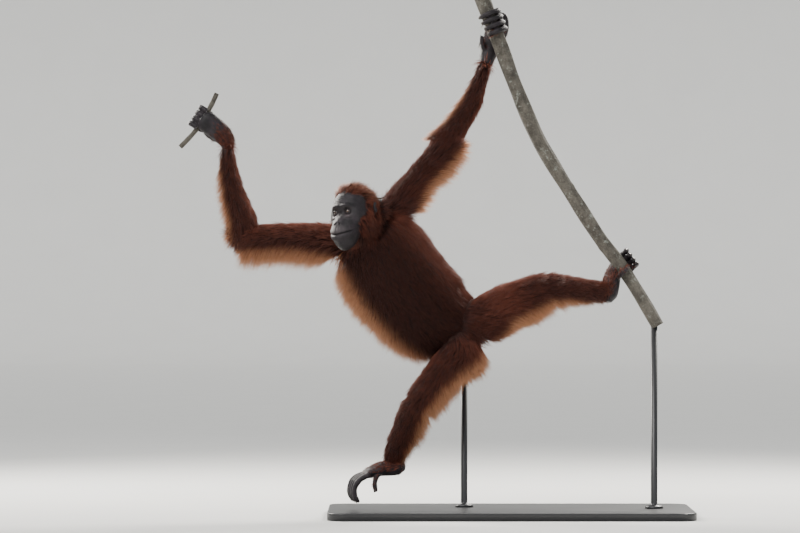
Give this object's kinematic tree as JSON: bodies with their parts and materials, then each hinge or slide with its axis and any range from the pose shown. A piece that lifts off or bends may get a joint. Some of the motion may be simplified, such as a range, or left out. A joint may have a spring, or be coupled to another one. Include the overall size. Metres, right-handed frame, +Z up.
{
  "type": "orangutan display model",
  "caption": "Life-size still model of an orangutan spread between a cut vine it grips with hand and foot and a free arm, held over a flat base by plain rods.",
  "frame": {"origin": "Centre of the stand base's underside, on the floor", "axes": "+Z up, +X to the right in the picture, the picture's camera looks along +Y; the animal's chest faces -Y"},
  "size_m": [1.6878, 0.62, 1.7655],
  "materials": {
    "coat": "long coarse hair, dark maroon to orange",
    "skin": "bare wrinkled skin, satin",
    "eye": "wet gloss",
    "bark": "rough bark with pale patches",
    "stand": "satin black"
  },
  "bodies": {
    "root": {"pelvis": "coat", "abdomen": "coat", "chest": "coat", "neck": "coat", "upper_arm_left": "coat", "forearm_left": "coat", "upper_arm_right": "coat", "forearm_right": "coat", "thigh_left": "coat", "lower_leg_left": "coat", "thigh_right": "coat", "lower_leg_right": "coat", "head": "skin", "ear_right": "skin", "ear_left": "skin", "hand_left": "skin", "hand_right": "skin", "foot_left": "skin", "foot_right": "skin", "hand_left_index": "skin", "hand_left_middle": "skin", "hand_left_ring": "skin", "hand_left_little": "skin", "hand_left_thumb": "skin", "hand_right_index": "skin", "hand_right_middle": "skin", "hand_right_ring": "skin", "hand_right_little": "skin", "hand_right_thumb": "skin", "foot_left_second_toe": "skin", "foot_left_third_toe": "skin", "foot_left_fourth_toe": "skin", "foot_left_fifth_toe": "skin", "foot_left_hallux": "skin", "foot_right_second_toe": "skin", "foot_right_third_toe": "skin", "foot_right_fourth_toe": "skin", "foot_right_fifth_toe": "skin", "foot_right_hallux": "skin", "eye_right": "eye", "eye_left": "eye", "perch_vine": "bark", "perch_twig": "bark", "stand_rod_body": "stand", "stand_rod_perch": "stand", "stand_base": "stand"}
  },
  "joints": []
}
